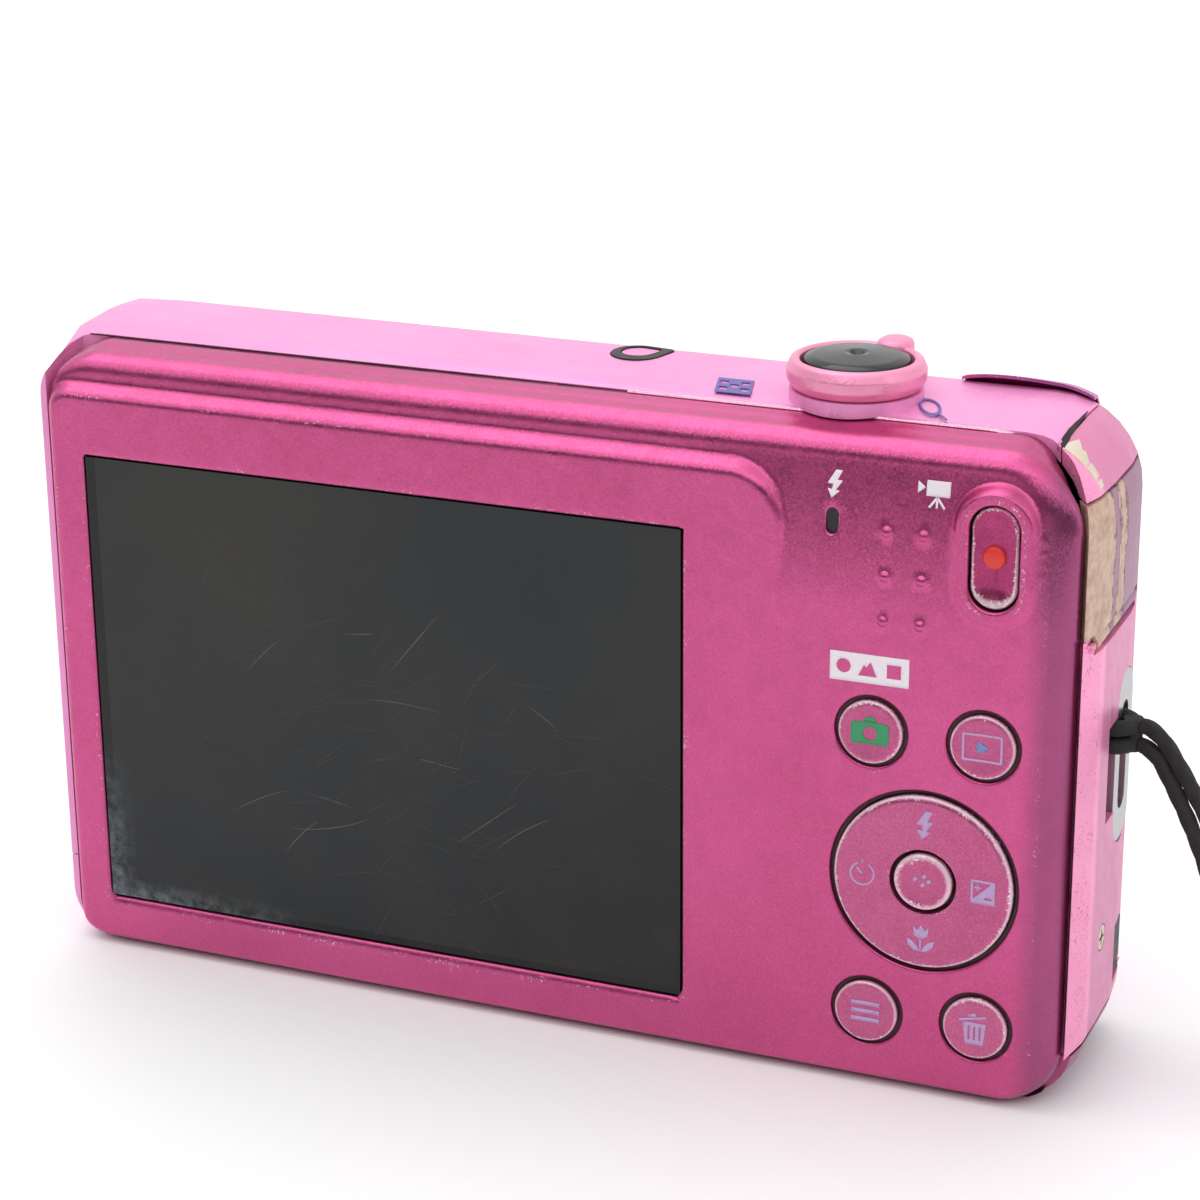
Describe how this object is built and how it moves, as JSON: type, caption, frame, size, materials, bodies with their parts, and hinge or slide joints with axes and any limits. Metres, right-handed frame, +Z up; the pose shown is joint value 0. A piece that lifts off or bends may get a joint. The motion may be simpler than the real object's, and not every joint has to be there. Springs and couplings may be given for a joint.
{
  "type": "compact digital camera",
  "caption": "Slim pocket camera with a folding-away zoom lens, a rear screen and keys, a top zoom ring, a sliding battery door and a wrist strap.",
  "frame": {"origin": "middle of the underside of the closed camera's bounding box, strap left out", "axes": "+X to the holder's right (shutter side), +Y out of the lens along its optical axis, +Z up; the screen faces -Y"},
  "size_m": [0.169, 0.0213, 0.0616],
  "materials": {
    "rear_paint": "metallic magenta pink paint over pressed metal, worn to white at the edges",
    "front_paint": "metallic pink paint over pressed metal",
    "band_pink": "satin pearl pink plastic",
    "key_pink": "semi-gloss metallic pink",
    "flap_rubber": "soft pink cover, worn beige",
    "black_plastic": "moulded black",
    "shutter_black": "polished black",
    "screen_glass": "scratched clear plastic",
    "lens_glass": "coated glass",
    "flash_glass": "ribbed clear plastic",
    "amber": "clear amber plastic",
    "lamp_cream": "milky light guide",
    "lcd": "dark display cell",
    "steel": "pressed steel",
    "plated": "plated",
    "chassis_alloy": "cast alloy",
    "barrel_alloy": "satin anodised",
    "board": "solder-masked board",
    "flex": "amber film",
    "brass": "turned brass",
    "screw_metal": "plated screw steel",
    "battery_wrap": "printed sleeve",
    "card_blue": "moulded",
    "latch_orange": "moulded orange",
    "cord_black": "woven cord"
  },
  "bodies": {
    "camera": {"rear_cover": "rear_paint", "front_cover": "front_paint", "top_cover": "band_pink", "side_cover": "band_pink", "bottom_cover": "band_pink", "chassis": "chassis_alloy", "lcd_window": "screen_glass", "lcd_panel": "lcd", "lcd_backlight": "steel", "main_board": "board", "key_flex": "flex", "flash_ready_lamp": "lamp_cream", "power_ring": "black_plastic", "top_board": "board", "lens_housing": "black_plastic", "image_sensor": "lcd", "lens_ring": "plated", "zoom_motor": "steel", "flash_window": "flash_glass", "flash_unit": "plated", "flash_capacitor": "battery_wrap", "af_lamp": "amber", "speaker": "black_plastic", "battery_chamber": "black_plastic", "battery": "battery_wrap", "card_slot": "steel", "memory_card": "card_blue", "tripod_socket": "brass", "av_usb_jack": "steel", "eyelet_plate": "plated", "screws_and_pins": "screw_metal", "strap_hitch": "cord_black", "strap_cords": "cord_black", "strap_end": "black_plastic", "strap_loop": "cord_black", "strap_tie": "black_plastic"},
    "mode_key": {"mode_button": "key_pink"},
    "playback_key": {"playback_button": "key_pink"},
    "menu_key": {"menu_button": "key_pink"},
    "delete_key": {"delete_button": "key_pink"},
    "movie_key": {"movie_button": "key_pink"},
    "selector_frame": {"selector_gimbal": "steel"},
    "selector": {"selector_ring": "key_pink"},
    "ok_key": {"ok_button": "key_pink"},
    "power_key": {"power_button": "band_pink"},
    "shutter_key": {"shutter_button": "shutter_black"},
    "zoom_ring": {"zoom_lever": "band_pink"},
    "cam": {"cam_ring": "black_plastic"},
    "middle_lens": {"middle_barrel": "barrel_alloy", "rear_lens": "lens_glass"},
    "front_group": {"front_barrel": "barrel_alloy", "front_lens": "lens_glass"},
    "blade_a": {"barrier_blade_a": "black_plastic"},
    "blade_b": {"barrier_blade_b": "black_plastic"},
    "pinion": {"motor_pinion": "brass"},
    "latch": {"battery_latch": "latch_orange"},
    "hinge_plate": {"door_hinge": "steel"},
    "door": {"battery_door": "band_pink"},
    "flap": {"connector_flap": "flap_rubber"},
    "cable_cover": {"power_cover": "black_plastic"}
  },
  "joints": [
    {"name": "mode_press", "type": "slide", "parent": "camera", "child": "mode_key", "axis": [0, 1, 0], "range_m": [0, 0.00025], "stiffness_N_per_m": 600, "springref_m": -0.0008},
    {"name": "playback_press", "type": "slide", "parent": "camera", "child": "playback_key", "axis": [0, 1, 0], "range_m": [0, 0.00025], "stiffness_N_per_m": 600, "springref_m": -0.0008},
    {"name": "menu_press", "type": "slide", "parent": "camera", "child": "menu_key", "axis": [0, 1, 0], "range_m": [0, 0.00025], "stiffness_N_per_m": 600, "springref_m": -0.0008},
    {"name": "delete_press", "type": "slide", "parent": "camera", "child": "delete_key", "axis": [0, 1, 0], "range_m": [0, 0.00025], "stiffness_N_per_m": 600, "springref_m": -0.0008},
    {"name": "movie_press", "type": "slide", "parent": "camera", "child": "movie_key", "axis": [0, 1, 0], "range_m": [0, 0.00025], "stiffness_N_per_m": 600, "springref_m": -0.0008},
    {"name": "selector_tilt_vertical", "type": "hinge", "parent": "camera", "child": "selector_frame", "pos_m": [0.0355, -0.0077, 0.0197], "axis": [1, 0, 0], "range_deg": [-2, 2], "stiffness_Nm_per_rad": 0.08},
    {"name": "selector_tilt_horizontal", "type": "hinge", "parent": "selector_frame", "child": "selector", "pos_m": [0.0355, -0.0077, 0.0197], "axis": [0, 0, 1], "range_deg": [-2, 2], "stiffness_Nm_per_rad": 0.08},
    {"name": "ok_press", "type": "slide", "parent": "selector", "child": "ok_key", "axis": [0, 1, 0], "range_m": [0, 0.0002], "stiffness_N_per_m": 600, "springref_m": -0.0008},
    {"name": "power_press", "type": "slide", "parent": "camera", "child": "power_key", "axis": [0, 0, -1], "range_m": [0, 0.0003], "stiffness_N_per_m": 600, "springref_m": -0.0008},
    {"name": "shutter_press", "type": "slide", "parent": "camera", "child": "shutter_key", "axis": [0, 0, -1], "range_m": [0, 0.0009], "stiffness_N_per_m": 400, "springref_m": -0.0008},
    {"name": "zoom_turn", "type": "hinge", "parent": "camera", "child": "zoom_ring", "pos_m": [0.0256, 0.0003, 0.0595], "axis": [0, 0, 1], "range_deg": [-22, 22], "stiffness_Nm_per_rad": 0.02},
    {"name": "cam_turn", "type": "hinge", "parent": "camera", "child": "cam", "pos_m": [-0.013, 0, 0.028], "axis": [0, 1, 0], "range_deg": [0, 75]},
    {"name": "middle_slide", "type": "slide", "parent": "camera", "child": "middle_lens", "axis": [0, 1, 0], "range_m": [0, 0.009]},
    {"name": "front_slide", "type": "slide", "parent": "middle_lens", "child": "front_group", "axis": [0, 1, 0], "range_m": [0, 0.008]},
    {"name": "pinion_spin", "type": "hinge", "parent": "camera", "child": "pinion", "pos_m": [-0.02827, 0, 0.01273], "axis": [0, 1, 0], "range_deg": [-263, 0]},
    {"name": "blade_a_open", "type": "hinge", "parent": "front_group", "child": "blade_a", "pos_m": [-0.0034, 0.0094, 0.028], "axis": [0, 1, 0], "range_deg": [0, 40]},
    {"name": "blade_b_open", "type": "hinge", "parent": "front_group", "child": "blade_b", "pos_m": [-0.0226, 0.0094, 0.028], "axis": [0, 1, 0], "range_deg": [0, 40]},
    {"name": "latch_slide", "type": "slide", "parent": "camera", "child": "latch", "axis": [-1, 0, 0], "range_m": [0, 0.0014], "stiffness_N_per_m": 150, "springref_m": -0.001},
    {"name": "door_open", "type": "hinge", "parent": "camera", "child": "hinge_plate", "pos_m": [0.029, 0.0073, 0.001], "axis": [1, 0, 0], "range_deg": [0, 90]},
    {"name": "door_slide", "type": "slide", "parent": "hinge_plate", "child": "door", "axis": [1, 0, 0], "range_m": [0, 0.0025]},
    {"name": "flap_open", "type": "hinge", "parent": "camera", "child": "flap", "pos_m": [0.04775, 0, 0.0412], "axis": [0, 1, 0], "range_deg": [0, 90]},
    {"name": "cable_cover_open", "type": "hinge", "parent": "camera", "child": "cable_cover", "pos_m": [0.04775, 0.0062, 0.00685], "axis": [0, 1, 0], "range_deg": [0, 60]}
  ],
  "couplings": [
    {"joint": "cam_turn", "follows": "middle_slide", "rad_per_m": 145.44},
    {"joint": "front_slide", "follows": "middle_slide", "ratio": 0.8888},
    {"joint": "pinion_spin", "follows": "middle_slide", "rad_per_m": -509.04},
    {"joint": "blade_b_open", "follows": "blade_a_open", "ratio": 1}
  ]
}
